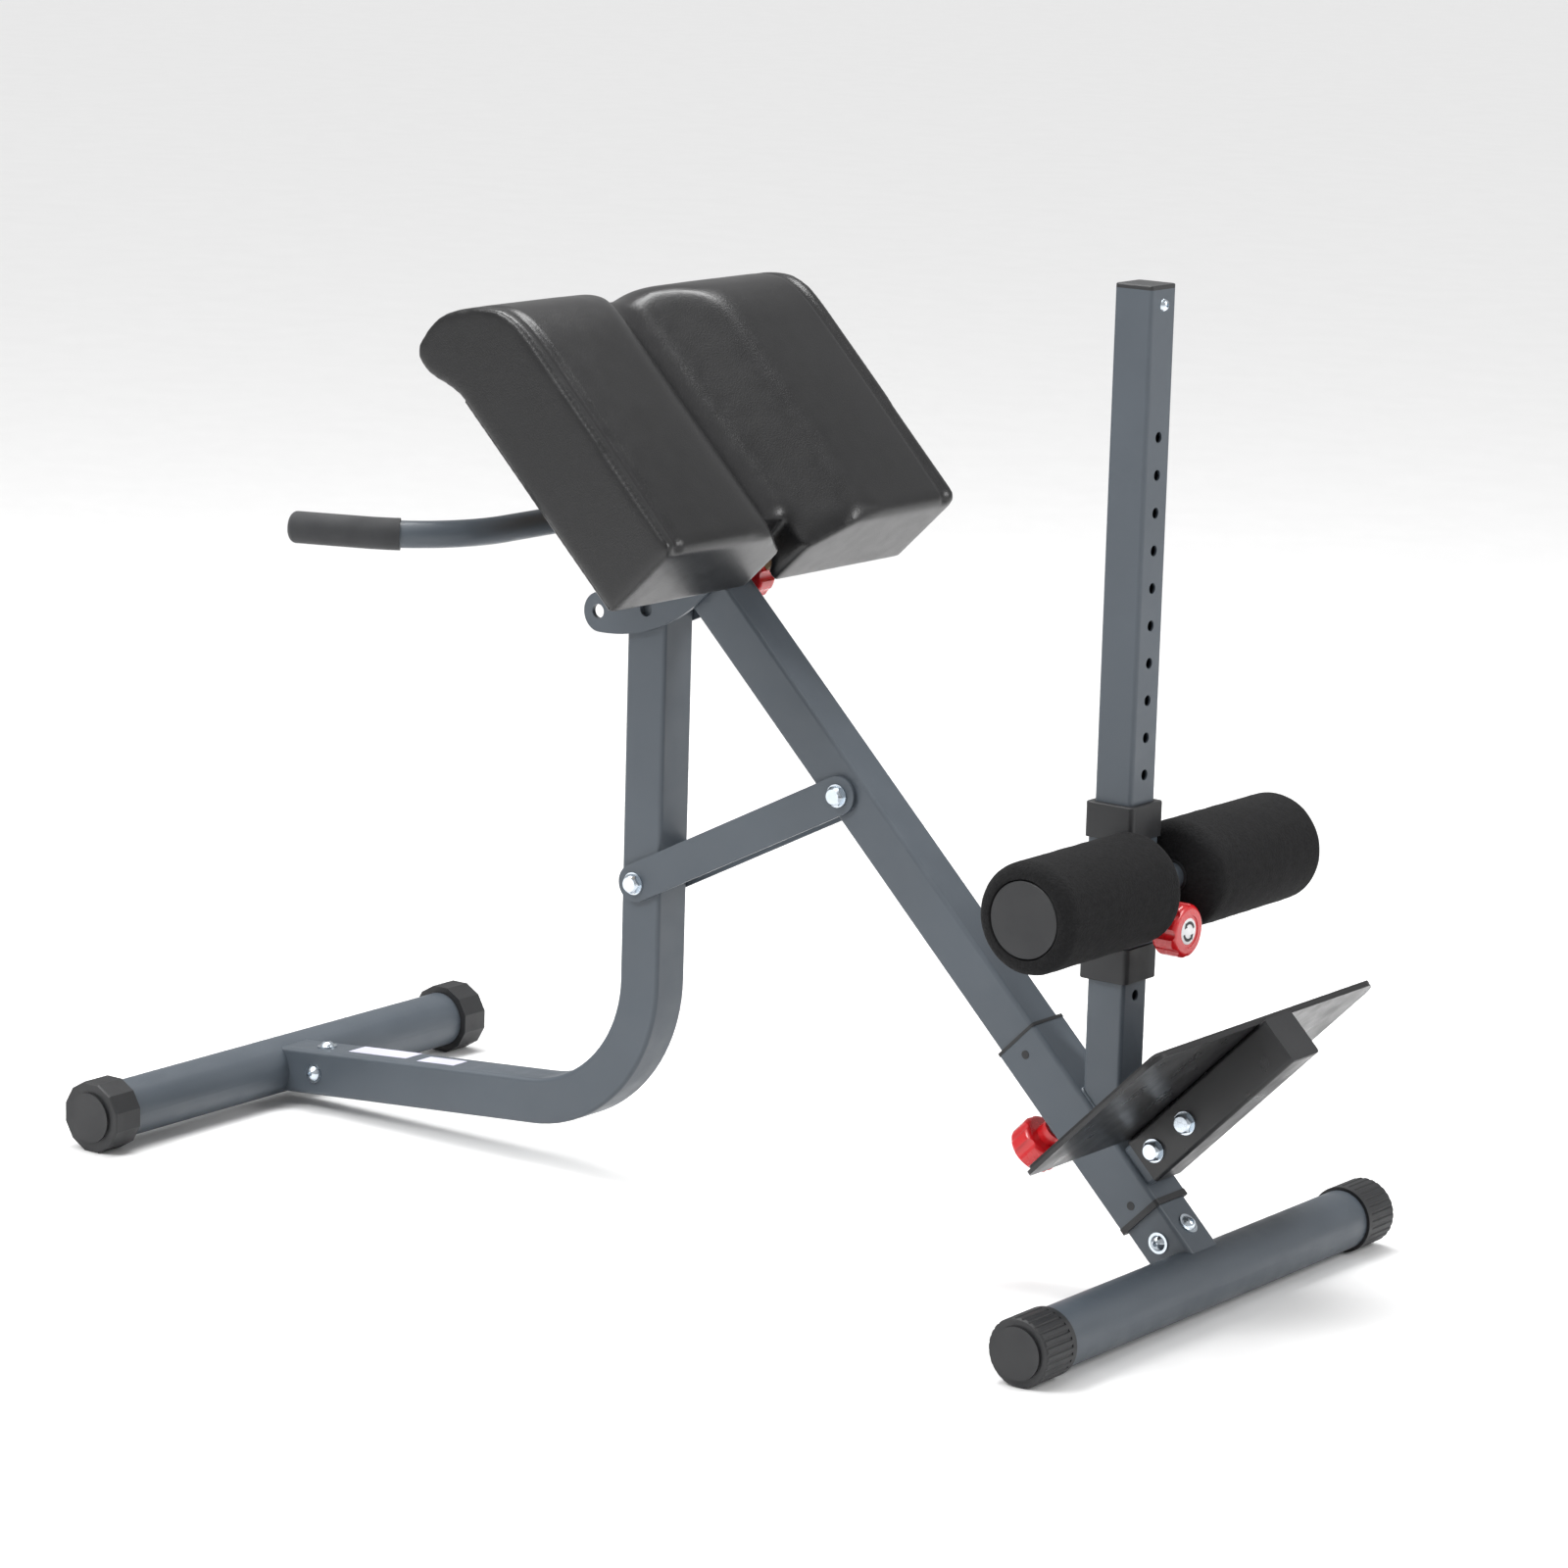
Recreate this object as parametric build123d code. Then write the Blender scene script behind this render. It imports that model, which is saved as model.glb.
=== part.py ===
from build123d import *
import math
import os

# Roman chair (45 degree back extension bench).  Millimetres, +Z up, floor at Z = 0.
# +X runs along the bench towards the footplate, +Y towards its right-hand side.

# ---- driving dimensions -------------------------------------------------------------
TUBE_W = 45.0            # main square tube, across the bench (Y)
TUBE_D = 46.0            # main square tube, in side view
WALL = 2.0
CORNER_R = 4.0

REAR_X = -589.0          # axis of the rear foot tube
REAR_Z = 35.0
REAR_LENGTH = 576.0
REAR_CAP_FLATS = 70.0    # twelve-sided cap, across its flats
REAR_CAP_LENGTH = 37.0

FRONT_X = 523.0          # axis of the front foot tube
FRONT_Z = 30.9
FRONT_LENGTH = 600.0
FRONT_CAP_D = 63.0
FRONT_CAP_LENGTH = 49.0
FOOT_TUBE_D = 57.0

UPRIGHT_X = -113.0       # centre of the vertical part of the L frame
LEG_RISE = 4.5           # the low leg of the L frame climbs by this many degrees
BEND_R = 143.0           # bend radius at the tube's centre line

PAD_PIVOT = 966.0        # places along the beam, measured from the front foot axis
BEAM_END = 988.0
BRACE_ON_BEAM = 563.0
BRACE_ON_UPRIGHT_Z = 303.5
BRACE_WIDTH = 37.0
BRACE_THICK = 5.0

SLEEVE_BOTTOM = 77.0     # lower carriage: its steel sleeve on the beam
SLEEVE_TOP = 273.0
SLEEVE_W = 51.0
SLEEVE_D = 52.0
CARRIAGE_PIN = 193.0

POST_X = 420.6           # centre of the vertical post
POST_SIZE = 40.0
POST_TOP = 926.0
HOLE_TOP = 793.7         # highest index hole of the post
HOLE_PITCH = 34.1
HOLE_COUNT = 16
HOLE_D = 10.0
ROLLER_HOLE = 13         # the hole that the roller carriage's pin is in at rest

CARRIAGE_OUTER = 47.0    # roller carriage: its sleeve on the post
CARRIAGE_LOW = 300.0
CARRIAGE_HIGH = 456.5
BUSH_SIZE = 52.0         # the plastic bush in each end of that sleeve
BUSH_LENGTH = 32.5
AXLE_WELD = 0.02         # the axle stands this far off the sleeve

ROLLER_Z = 391.2         # height of the foam rollers' axle
ROLLER_D = 102.0
ROLLER_INNER_Y = 28.5
ROLLER_OUTER_Y = 213.5
AXLE_D = 25.0

PLATE_S = 134.8          # underside of the footplate, along the beam
PLATE_T0 = 38.0
PLATE_T1 = 223.0
PLATE_HALF_WIDTH = 188.0
PLATE_THICK = 4.0
ARM_SIZE = 46.0
ARM_T0 = 35.6
ARM_T1 = 227.0
ARM_WALL = 2.5
ARM_BOLTS = (54.0, 99.0) # heights of the bolts through the arm, above the beam's centre line

INDEX_R = 150.0          # index holes of the quadrant plates, around the pad pivot
INDEX_STEP = 22.5
INDEX_OFFSET = 2.5       # the pin sits this many degrees below the beam's centre line
QUADRANT_Y = 24.0        # inner face of each quadrant plate
QUADRANT_THICK = 5.0

PAD_BACK = 40.0          # height of the pad's back face above the beam's centre line
PAD_TOP = 138.0
HOOK_START = 1026.0      # the back curls under from here, to HOOK_LOW at the tip
HOOK_LOW = 24.0
PAD_S0 = 775.0
PAD_S1 = 1101.0
PAD_HALF_WIDTH = 229.0
BOARD_THICK = 12.0
BOARD_LENGTH = 230.0
BOARD_HALF_WIDTH = 211.0
PAD_BAR_PLACES = (PAD_S0 + 62, PAD_PIVOT + 38)
PAD_SCREW_Y = (-110.0, 110.0)
NOTCH_HALF = 20.0
NOTCH_LENGTH = 36.0
VALLEY_HALF = 86.0
VALLEY_FLOOR_HALF = 20.0
VALLEY_DEPTH = 41.0

HANDLE_D = 25.4
GRIP_D = 30.0
HANDLE_STRAIGHT = 185.0  # half length of the straight part of the handlebar
HANDLE_BEND_R = 114.0
HANDLE_TURN = 71.0
HANDLE_TIP = 69.0
HANDLE_Z = 662.0
GRIP_ON_BEND = 17.0      # the grip covers the last degrees of the bend
GRIP_ROUND = 6.0

KNOB_D = 50.0
PIN_R = 4.6
PIN_BORE = 4.9
BARREL_R = 8.0
BARREL_LENGTH = 20.0
GAP = 0.3                # running clearance between parts that move on each other

DIAGONAL = math.sqrt(0.5)
BEAM = Plane(origin=(FRONT_X, 0, FRONT_Z), x_dir=(-1, 0, 1), z_dir=(1, 0, 1)).location


# ---- helpers ------------------------------------------------------------------------
def on_beam(s, t=0.0, y=0.0):
    """A place s along the beam, t above its centre line; local Y points to world -Y."""
    return BEAM * Pos(s, -y, t)


def beam_point(s, t=0.0):
    """World X and Z of the place s along the beam and t above its centre line."""
    return FRONT_X + (t - s) * DIAGONAL, FRONT_Z + (t + s) * DIAGONAL


def bar_y(radius, y0, y1):
    """A round bar along world Y, centred on the local origin."""
    return Pos(0, (y0 + y1) / 2, 0) * Rot(90, 0, 0) * Cylinder(radius, y1 - y0)


def tube_section(width, depth, wall):
    """Section of a square tube, with the rounded corners of rolled steel."""
    inner = RectangleRounded(width - 2 * wall, depth - 2 * wall, CORNER_R - wall)
    return RectangleRounded(width, depth, CORNER_R) - inner


def square_tube(length, width, depth, wall, start=0.0):
    """A square tube along local X that begins at start; width is along Y."""
    section = Plane(origin=(start, 0, 0), x_dir=(0, 1, 0), z_dir=(1, 0, 0)) * tube_section(width, depth, wall)
    return extrude(section, length)


def side_slab(outline, y0, y1):
    """Extrude an XZ outline from y0 to y1 across the bench."""
    return Pos(0, y1, 0) * extrude(Plane.XZ * outline, y1 - y0)


def hex_head(size, height):
    """A hexagon bolt head with a chamfered crown, standing on the XY plane."""
    head = extrude(RegularPolygon(size / 2, 6, major_radius=False), height)
    crown = Cone(size * 0.72, size * 0.42, height, align=(Align.CENTER, Align.CENTER, Align.MIN))
    return head & crown


def washer(bore, outer, thick):
    ring = Cylinder(outer / 2, thick) - Cylinder(bore / 2, thick + 1)
    return Pos(0, 0, thick / 2) * ring


def button_screw(thread, length, head, height):
    """A button-head screw with a hexagon socket; its head stands on the XY plane."""
    bulge = (head * head / 4 + height * height) / (2 * height)
    dome = Pos(0, 0, height - bulge) * Sphere(bulge)
    block = Cylinder(head / 2, height, align=(Align.CENTER, Align.CENTER, Align.MIN))
    socket = Pos(0, 0, height * 0.35) * extrude(RegularPolygon(head * 0.18, 6), height)
    shank = Cylinder(thread / 2, length, align=(Align.CENTER, Align.CENTER, Align.MAX))
    return (block & dome) - socket + shank


def group(parts):
    return Compound(children=[piece for piece in parts])


def save(name, shape):
    shape.label = name
    export_step(shape, "parts/" + name + ".step")


# ---- feet ---------------------------------------------------------------------------
def foot_tube(x, z, length, stub):
    """A round foot tube with the square stub welded to it that the frame tube slides over."""
    half = length / 2 - 5.0
    tube = bar_y(FOOT_TUBE_D / 2, -half, half)
    bore = bar_y(FOOT_TUBE_D / 2 - WALL, -half - 1, half + 1)
    return Pos(x, 0, z) * (tube + (stub - bar_y(FOOT_TUBE_D / 2 - 1, -60, 60)) - bore)


def rear_foot_tube():
    stub = square_tube(90, TUBE_W - 2 * WALL - 1, TUBE_D - 2 * WALL - 1, 2.5)
    screws = Pos(62, 0, 0) * (Rot(90, 0, 0) * Cylinder(4.0, 60) + Pos(0, 0, 20) * Cylinder(4.0, 20))
    return foot_tube(REAR_X, REAR_Z, REAR_LENGTH, Rot(0, -LEG_RISE, 0) * (stub - screws))


def front_foot_tube():
    stub = square_tube(66, TUBE_W - 2 * WALL - 1, TUBE_D - 2 * WALL - 1, 2.5)
    screws = Pos(45, 0, 0) * (Rot(90, 0, 0) * Cylinder(4.0, 60) + Pos(0, 0, 20) * Cylinder(4.0, 20))
    turned = BEAM * (stub - screws)
    return foot_tube(FRONT_X, FRONT_Z, FRONT_LENGTH, turned.moved(Pos(-FRONT_X, 0, -FRONT_Z)))


def cap_blank(outline, length, disc_r):
    """A foot cap: a cup over the tube's end with a raised disc on its outer face."""
    body = extrude(outline, length - 3.0)
    body = chamfer(body.faces().sort_by(Axis.Z)[-1].edges(), 1.5)
    disc = Pos(0, 0, length - 1.5) * Cylinder(disc_r, 3.0)
    pocket = Pos(0, 0, (length - 4.0 - 1) / 2 - 0.5) * Cylinder(FOOT_TUBE_D / 2 + 0.05, length - 4.0)
    return body + disc - pocket


def rear_foot_cap(side):
    outline = Rot(0, 0, 15) * RegularPolygon(REAR_CAP_FLATS / 2, 12, major_radius=False)
    cap = cap_blank(outline, REAR_CAP_LENGTH, 25.0)
    collar = Pos(0, 0, 1.5) * (Cylinder(REAR_CAP_FLATS / 2 - 1, 3.0) - Cylinder(FOOT_TUBE_D / 2 + 0.05, 4.0))
    start = REAR_LENGTH / 2 - REAR_CAP_LENGTH
    return Pos(REAR_X, side * start, REAR_Z) * Rot(-90 * side, 0, 0) * (cap + collar)


def front_foot_cap(side):
    """The ribbed cap: shallow flutes around it and one wider flat that rests on the floor."""
    radius = FRONT_CAP_D / 2
    cap = cap_blank(Circle(radius), FRONT_CAP_LENGTH, 24.0)
    flutes = 28
    for i in range(flutes):
        angle = 360.0 / flutes * (i + 0.5)
        off_floor = abs((angle - 90 * side + 180) % 360 - 180) > 20
        if off_floor:
            place = Rot(0, 0, angle) * Pos(radius + 0.7, 0, FRONT_CAP_LENGTH / 2 + 6)
            cut = place * Cylinder(1.7, FRONT_CAP_LENGTH)
            cap -= cut
    flat = Box(10, 30, FRONT_CAP_LENGTH + 8)
    flat = Rot(0, 0, 90 * side) * Pos(FRONT_Z + 5, 0, FRONT_CAP_LENGTH / 2) * flat
    start = FRONT_LENGTH / 2 - FRONT_CAP_LENGTH
    return Pos(FRONT_X, side * start, FRONT_Z) * Rot(-90 * side, 0, 0) * (cap - flat)


# ---- frame tubes --------------------------------------------------------------------
def corner_of_l():
    return REAR_Z + math.tan(math.radians(LEG_RISE)) * (UPRIGHT_X - REAR_X)


def l_path(start, top):
    """Centre line of the L frame: low leg, bend, upright."""
    rise = math.radians(LEG_RISE)
    corner = Vector(UPRIGHT_X, 0, corner_of_l())
    along = Vector(math.cos(rise), 0, math.sin(rise))
    back = BEND_R * math.tan(math.radians(90 - LEG_RISE) / 2)
    bend_start = corner - along * back
    bend_end = corner + Vector(0, 0, back)
    foot = Vector(REAR_X, 0, REAR_Z) + along * start
    leg = Line(foot, bend_start)
    bend = TangentArc(bend_start, bend_end, tangent=along)
    return leg + bend + Line(bend_end, (UPRIGHT_X, 0, top)), foot, along


def rear_upright():
    """The L frame: low leg, bend and upright, mitred under the beam and saddled on the foot."""
    tall = 700.0
    path, foot, along = l_path(6, tall)
    section = Plane(origin=foot, x_dir=(0, 1, 0), z_dir=along) * tube_section(TUBE_W, TUBE_D, WALL)
    tube = sweep(section, path)
    tube -= Pos(REAR_X, 0, REAR_Z) * bar_y(FOOT_TUBE_D / 2 + 0.1, -60, 60)
    tube -= on_beam(700, 500 - TUBE_D / 2) * Box(900, 200, 1000)
    for hole in rear_screw_places():
        tube -= hole * Cylinder(4.6, 30)
    bolt_x, bolt_z = brace_ends()[0]
    return tube - Pos(bolt_x, 0, bolt_z) * bar_y(5.1, -40, 40)


def rear_screw_places():
    leg = Pos(REAR_X, 0, REAR_Z) * Rot(0, -LEG_RISE, 0) * Pos(62, 0, 0)
    return [leg * Pos(0, -TUBE_W / 2, 0) * Rot(90, 0, 0), leg * Pos(0, 0, TUBE_D / 2)]


def front_screw_places():
    return [on_beam(45, 0, -TUBE_W / 2) * Rot(-90, 0, 0), on_beam(45, TUBE_D / 2)]


def main_beam():
    beam = on_beam(0) * square_tube(BEAM_END - 4, TUBE_W, TUBE_D, WALL, 4)
    beam -= Pos(FRONT_X, 0, FRONT_Z) * bar_y(FOOT_TUBE_D / 2 + 0.1, -60, 60)
    for hole in front_screw_places():
        beam -= hole * Cylinder(4.6, 30)
    brace_x, brace_z = brace_ends()[1]
    beam -= Pos(brace_x, 0, brace_z) * bar_y(5.1, -40, 40)
    pivot_x, pivot_z = beam_point(PAD_PIVOT)
    beam -= Pos(pivot_x, 0, pivot_z) * bar_y(6.1, -40, 40)
    pin_x, pin_z = index_place(0)
    beam -= Pos(pin_x, 0, pin_z) * bar_y(6.2, -40, 40)
    for i in range(6):
        beam -= on_beam(CARRIAGE_PIN + 40 * i, -TUBE_D / 2) * Cylinder(HOLE_D / 2 + 0.2, 12)
    return beam


def beam_top_cap():
    plug = Box(24, TUBE_W - 2 * WALL, TUBE_D - 2 * WALL)
    plug = on_beam(BEAM_END - 12) * fillet(plug.edges().filter_by(Axis.X), CORNER_R - WALL)
    lid = Box(3, TUBE_W, TUBE_D)
    lid = on_beam(BEAM_END + 1.5) * fillet(lid.edges().filter_by(Axis.X), CORNER_R)
    hollow = on_beam(BEAM_END - 14) * Box(24, TUBE_W - 2 * WALL - 5, TUBE_D - 2 * WALL - 5)
    pivot_x, pivot_z = beam_point(PAD_PIVOT)
    return plug + lid - hollow - Pos(pivot_x, 0, pivot_z) * bar_y(9, -40, 40)


# ---- braces -------------------------------------------------------------------------
def brace_ends():
    far_x, far_z = beam_point(BRACE_ON_BEAM, -6.0)
    return (UPRIGHT_X - 4.0, BRACE_ON_UPRIGHT_Z), (far_x, far_z)


def brace(side):
    """A flat bar with round ends on one side of the two tubes."""
    (x0, z0), (x1, z1) = brace_ends()
    length = math.hypot(x1 - x0, z1 - z0)
    slope = math.degrees(math.atan2(z1 - z0, x1 - x0))
    outline = Pos((x0 + x1) / 2, (z0 + z1) / 2) * Rot(0, 0, slope) * SlotCenterToCenter(length, BRACE_WIDTH)
    outline -= [Pos(x0, z0) * Circle(5.1), Pos(x1, z1) * Circle(5.1)]
    y = TUBE_W / 2
    bar = side_slab(outline, y, y + BRACE_THICK) if side > 0 else side_slab(outline, -y - BRACE_THICK, -y)
    return bar


def brace_hardware():
    """Two through bolts with a washer at each end and a lock nut on the far side."""
    bolts, washers, nuts = [], [], []
    face = TUBE_W / 2 + BRACE_THICK
    for x, z in brace_ends():
        near = Pos(x, -face, z) * Rot(90, 0, 0)
        far = Pos(x, face, z) * Rot(-90, 0, 0)
        shank = Cylinder(5.0, 2 * face + 16, align=(Align.CENTER, Align.CENTER, Align.MAX))
        bolts.append(near * Pos(0, 0, 1.8) * (hex_head(17, 6.5) + shank))
        washers += [near * washer(10.1, 22, 1.8), far * washer(10.1, 22, 1.8)]
        nut = Pos(0, 0, 1.8) * (hex_head(17, 9) - Cylinder(5.05, 40))
        nuts.append(far * nut)
    return group(bolts), group(washers), group(nuts)


def foot_hardware():
    screws, washers = [], []
    for place in rear_screw_places() + front_screw_places():
        screws.append(place * Pos(0, 0, 1.6) * button_screw(8, 20, 15, 5.0))
        washers.append(place * washer(8.1, 20, 1.6))
    return group(screws), group(washers)


# ---- pad support --------------------------------------------------------------------
def index_place(step):
    """World X and Z of an index hole of the quadrant plates, counted from the pin."""
    pivot_x, pivot_z = beam_point(PAD_PIVOT)
    angle = math.radians(-45 - INDEX_OFFSET - INDEX_STEP * step)
    return pivot_x + INDEX_R * math.cos(angle), pivot_z + INDEX_R * math.sin(angle)


def quadrant_plate(side):
    """Side plate that turns with the pad: a web at the pivot and a curved arm of index holes."""
    pivot_x, pivot_z = beam_point(PAD_PIVOT)

    def polar(radius, degrees):
        a = math.radians(degrees)
        return pivot_x + radius * math.cos(a), pivot_z + radius * math.sin(a)

    inner, outer, lug = INDEX_R - 19.0, INDEX_R + 20.0, 30.0
    last = -45 - INDEX_OFFSET - INDEX_STEP * 2
    tip = polar(INDEX_R, last - 6.5)
    rim = [polar(outer, a) for a in (last, (last - 34) / 2, -34)]
    bore = [polar(inner, a) for a in (-45, (last - 45) / 2, last)]
    boss = [polar(lug, a) for a in (180, -120, -45)]
    top_low = beam_point(PAD_PIVOT - 162, PAD_BACK - 4)
    top_high = beam_point(PAD_PIVOT + 60, PAD_BACK - 4)
    edges = [ThreePointArc(rim[0], rim[1], rim[2]), Line(rim[2], top_low), Line(top_low, top_high)]
    edges += [Line(top_high, boss[0]), ThreePointArc(boss[0], boss[1], boss[2]), Line(boss[2], bore[0])]
    edges += [ThreePointArc(bore[0], bore[1], bore[2]), ThreePointArc(bore[2], tip, rim[0])]
    outline = make_face(edges)
    outline -= Pos(pivot_x, pivot_z) * Circle(9.1)
    for step in range(3):
        hole_x, hole_z = index_place(step)
        outline -= Pos(hole_x, hole_z) * Circle(7.0)
    y = QUADRANT_Y
    inner, outer = sorted((side * y, side * (y + QUADRANT_THICK)))
    return side_slab(outline, inner, outer)


def pad_crossbar(s):
    """A flat bar across the quadrant plates, under the pad's board."""
    bar = on_beam(s, PAD_BACK - 2) * Box(40, 300, 4)
    for y in PAD_SCREW_Y:
        bar -= on_beam(s, PAD_BACK, y) * Cylinder(3.3, 20)
    return bar


def pad_board():
    board = Box(BOARD_LENGTH, 2 * BOARD_HALF_WIDTH, BOARD_THICK)
    board = on_beam(PAD_S0 + 14 + BOARD_LENGTH / 2, PAD_BACK + BOARD_THICK / 2) * board
    notch = on_beam(PAD_S0 + NOTCH_LENGTH / 2, PAD_BACK + 6) * Box(NOTCH_LENGTH + 12, 2 * NOTCH_HALF + 10, 40)
    for s in PAD_BAR_PLACES:
        for y in PAD_SCREW_Y:
            board -= on_beam(s, PAD_BACK, y) * Cylinder(3.0, 13)
    return board - notch


def pad_outline():
    """Side view of the cushion, s along the beam and t above its centre line."""
    lower = [(PAD_S0, PAD_BACK), (PAD_S0 - 2, PAD_TOP - 14), (PAD_S0 + 10, PAD_TOP - 2)]
    crest = [(1008.0, PAD_TOP + 3), (1062.0, 129.0), (1092.0, 92.0), (PAD_S1, 48.0)]
    tip = Bezier(crest[-1], (1100.0, 30.0), (1094.0, HOOK_LOW), (1080.0, HOOK_LOW))
    under = Bezier((1080.0, HOOK_LOW), (1060.0, HOOK_LOW), (1048.0, PAD_BACK), (HOOK_START, PAD_BACK))
    edges = [Line(lower[0], lower[1]), ThreePointArc(lower[1], (PAD_S0 + 1, PAD_TOP - 5), lower[2])]
    edges += [Line(lower[2], crest[0]), Spline(crest, tangents=[(1, 0), (-0.1, -1)])]
    edges += [tip, under, Line((HOOK_START, PAD_BACK), lower[0])]
    return make_face(edges)


def hip_pad():
    """The cushion: two lobes with a valley between them and a notch at its lower end."""
    solid = BEAM * Pos(0, PAD_HALF_WIDTH, 0) * extrude(Plane.XZ * pad_outline(), 2 * PAD_HALF_WIDTH)
    floor = PAD_TOP - VALLEY_DEPTH
    high = PAD_TOP + 8
    left, right = (-VALLEY_FLOOR_HALF, floor), (VALLEY_FLOOR_HALF, floor)
    valley = Polyline((-VALLEY_HALF, high), left, right, (VALLEY_HALF, high), close=True)
    cutter = Pos(PAD_S1 + 100, 0, 0) * extrude(Plane.YZ * make_face(valley), -500)
    solid -= BEAM * cutter
    notch = on_beam(PAD_S0 + NOTCH_LENGTH / 2 - 6, 80) * Box(NOTCH_LENGTH + 12, 2 * NOTCH_HALF, 200)
    deep = BOARD_THICK + 8
    recess = Box(BOARD_LENGTH + 0.6, 2 * BOARD_HALF_WIDTH + 0.6, deep)
    recess = on_beam(PAD_S0 + 14 + BOARD_LENGTH / 2, PAD_BACK + BOARD_THICK - deep / 2) * recess
    return solid - notch - recess


def pad_screws():
    screws = []
    for s in PAD_BAR_PLACES:
        for y in PAD_SCREW_Y:
            head = Cylinder(5.5, 2.5, align=(Align.CENTER, Align.CENTER, Align.MAX))
            shank = Cylinder(3.0, 10, align=(Align.CENTER, Align.CENTER, Align.MIN))
            screws.append(on_beam(s, PAD_BACK - 4, y) * (head + shank))
    return group(screws)


def pivot_hardware():
    """Pivot bolt through the beam, its nut, and a plastic bush in each quadrant plate."""
    pivot_x, pivot_z = beam_point(PAD_PIVOT)
    face = QUADRANT_Y + QUADRANT_THICK + 1.5
    near = Pos(pivot_x, -face, pivot_z) * Rot(90, 0, 0)
    far = Pos(pivot_x, face, pivot_z) * Rot(-90, 0, 0)
    shank = Cylinder(6.0, 2 * face + 14, align=(Align.CENTER, Align.CENTER, Align.MAX))
    bolt = near * (hex_head(18, 7) + shank)
    nut = far * (hex_head(18, 10) - Cylinder(6.05, 50))
    bushes = []
    for side in (-1, 1):
        sleeve = bar_y(9.0, QUADRANT_Y - 1.2, face - 0.3) + bar_y(13.0, face - 1.5, face - 0.3)
        ring = sleeve - bar_y(6.2, 0, 60)
        bushes.append(Pos(pivot_x, 0, pivot_z) * (ring if side > 0 else mirror(ring, Plane.XZ)))
    return bolt, nut, group(bushes)


# ---- handlebar ----------------------------------------------------------------------
def handle_x():
    below = TUBE_D / 2 + HANDLE_D / 2 + 0.1
    return FRONT_X + FRONT_Z - HANDLE_Z - below / DIAGONAL


def tube_along(path, at, direction, outer, inner):
    plane = Plane(origin=at, z_dir=direction)
    return sweep(plane * (Circle(outer) - Circle(inner)), path)


def on_bend(degrees):
    """The point of the handlebar's bend after it has turned by that many degrees."""
    turn = math.radians(degrees)
    across = Vector(math.cos(turn) - 1, math.sin(turn), 0) * HANDLE_BEND_R
    return Vector(handle_x(), HANDLE_STRAIGHT, HANDLE_Z) + across


def heading(degrees):
    turn = math.radians(degrees)
    return Vector(-math.sin(turn), math.cos(turn), 0)


def handlebar():
    centre = Vector(handle_x(), 0, HANDLE_Z)
    start, middle, end = on_bend(0), on_bend(HANDLE_TURN / 2), on_bend(HANDLE_TURN)
    tip = end + heading(HANDLE_TURN) * HANDLE_TIP
    half = Line(centre, start) + ThreePointArc(start, middle, end) + Line(end, tip)
    right = tube_along(half, centre, (0, 1, 0), HANDLE_D / 2, HANDLE_D / 2 - WALL)
    return right + mirror(right, Plane.XZ)


def handle_grip(side):
    """A moulded sleeve over the end of the handlebar, closed and rounded at its tip."""
    begin = HANDLE_TURN - GRIP_ON_BEND
    first, end = on_bend(begin), on_bend(HANDLE_TURN)
    arc = ThreePointArc(first, on_bend(HANDLE_TURN - GRIP_ON_BEND / 2), end)
    bore = HANDLE_D / 2 + 0.05
    curved = tube_along(arc, first, heading(begin), GRIP_D / 2, bore)
    plane = Plane(origin=end, z_dir=heading(HANDLE_TURN))
    straight = extrude(plane * Circle(GRIP_D / 2), HANDLE_TIP + 4)
    straight = fillet(farthest_edge(straight, first), GRIP_ROUND)
    straight -= extrude(plane * Circle(bore), HANDLE_TIP)
    grip = curved + straight
    return grip if side > 0 else mirror(grip, Plane.XZ)


def farthest_edge(shape, point):
    rings = shape.edges().filter_by(GeomType.CIRCLE)
    return max(rings, key=lambda edge: (edge.center() - Vector(point)).length)


# ---- lower carriage: sleeve, post, footplate ----------------------------------------
def lower_sleeve():
    sleeve = on_beam(0) * square_tube(SLEEVE_TOP - SLEEVE_BOTTOM, SLEEVE_W, SLEEVE_D, WALL, SLEEVE_BOTTOM)
    for s in (SLEEVE_BOTTOM + 10, SLEEVE_TOP - 15):
        for side in (-1, 1):
            sleeve -= on_beam(s, 0, side * SLEEVE_W / 2) * Rot(90, 0, 0) * Cylinder(4.1, 8)
    sleeve -= on_beam(CARRIAGE_PIN, -SLEEVE_D / 2) * Cylinder(PIN_BORE, 8)
    stub = on_beam(0, 0) * arm_stub()
    return sleeve + stub


def arm_stub():
    """The square stub on top of the sleeve that the footplate arm slides over."""
    size = ARM_SIZE - 5.4
    length = 96.0
    tube = Rot(0, -90, 0) * square_tube(length, size - 1, size, ARM_WALL, SLEEVE_D / 2 - 1)
    stub = Pos(PLATE_S - ARM_SIZE / 2, 0, 0) * tube
    for t in ARM_BOLTS:
        stub -= Pos(PLATE_S - ARM_SIZE / 2, 0, t) * Rot(90, 0, 0) * Cylinder(5.1, 80)
    return stub



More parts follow.
